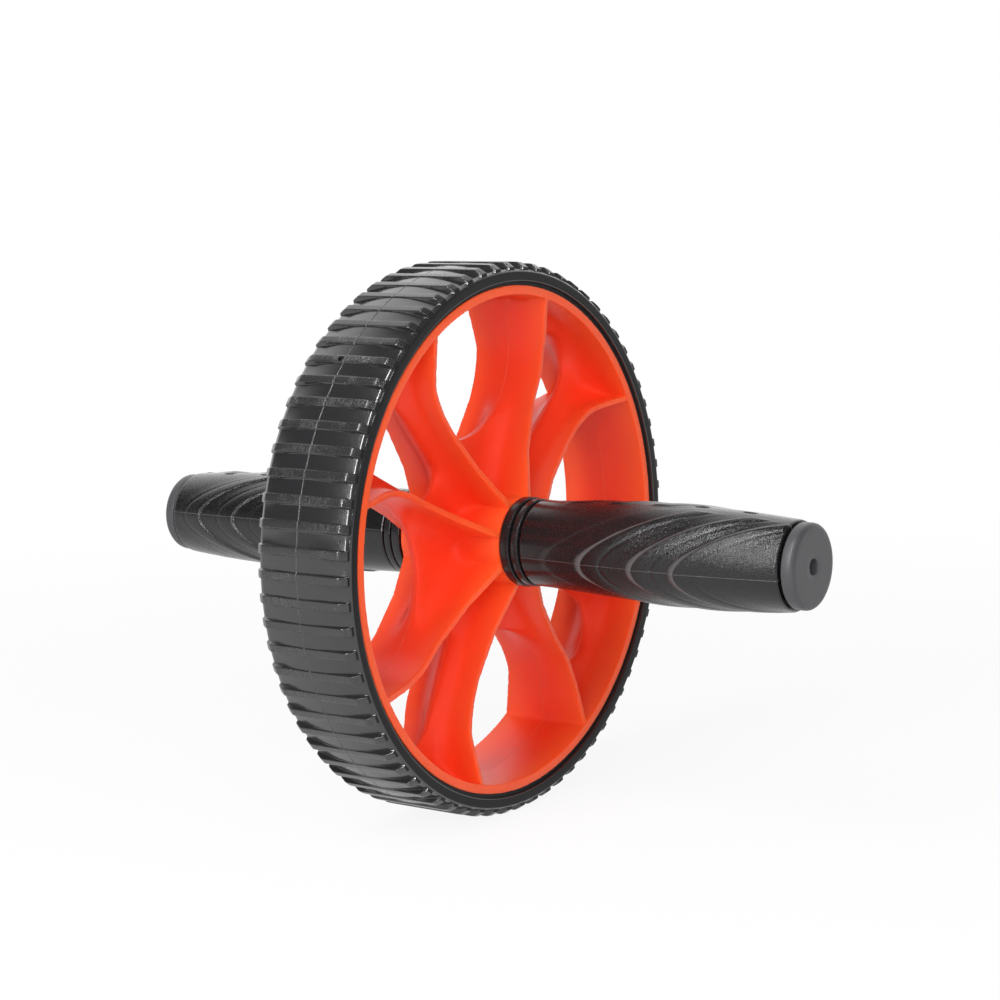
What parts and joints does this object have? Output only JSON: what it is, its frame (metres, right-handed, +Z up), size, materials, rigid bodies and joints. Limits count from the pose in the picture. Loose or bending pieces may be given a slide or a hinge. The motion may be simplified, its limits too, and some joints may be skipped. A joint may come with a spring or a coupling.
{
  "type": "ab wheel roller",
  "caption": "Exercise roller: a wide ribbed tyre on an open petal-spoked wheel that spins freely on an axle, with a swelling chevron grip on each side.",
  "frame": {"origin": "middle of the wheel, on the axle line", "axes": "+Y along the axle towards the left handle, +Z up, +X forward in the direction it rolls"},
  "size_m": [0.18, 0.25, 0.18],
  "materials": {
    "tyre": "moulded black rubber, satin",
    "wheel_plastic": "injection-moulded orange-red plastic, semi-gloss",
    "axle_steel": "plain drawn steel",
    "bush_plastic": "self-lubricating plastic",
    "handle_plastic": "black moulded plastic",
    "grip_rubber": "black moulded rubber, satin",
    "cap_plastic": "dark grey moulded plastic"
  },
  "bodies": {
    "handlebar": {"axle": "axle_steel", "thrust_washer_right": "axle_steel", "thrust_washer_left": "axle_steel", "handle_core_right": "handle_plastic", "handle_core_left": "handle_plastic", "handle_collar_right": "handle_plastic", "handle_collar_left": "handle_plastic", "grip_ring_right": "grip_rubber", "grip_ring_left": "grip_rubber", "grip_right": "grip_rubber", "grip_left": "grip_rubber", "end_cap_right": "cap_plastic", "end_cap_left": "cap_plastic"},
    "wheel": {"tyre": "tyre", "wheel_centre": "wheel_plastic", "hub_bush_right": "bush_plastic", "hub_bush_left": "bush_plastic"}
  },
  "joints": [
    {"name": "wheel_spin", "type": "hinge", "parent": "handlebar", "child": "wheel", "pos_m": [0, 0, 0], "axis": [0, 1, 0], "continuous": true}
  ]
}
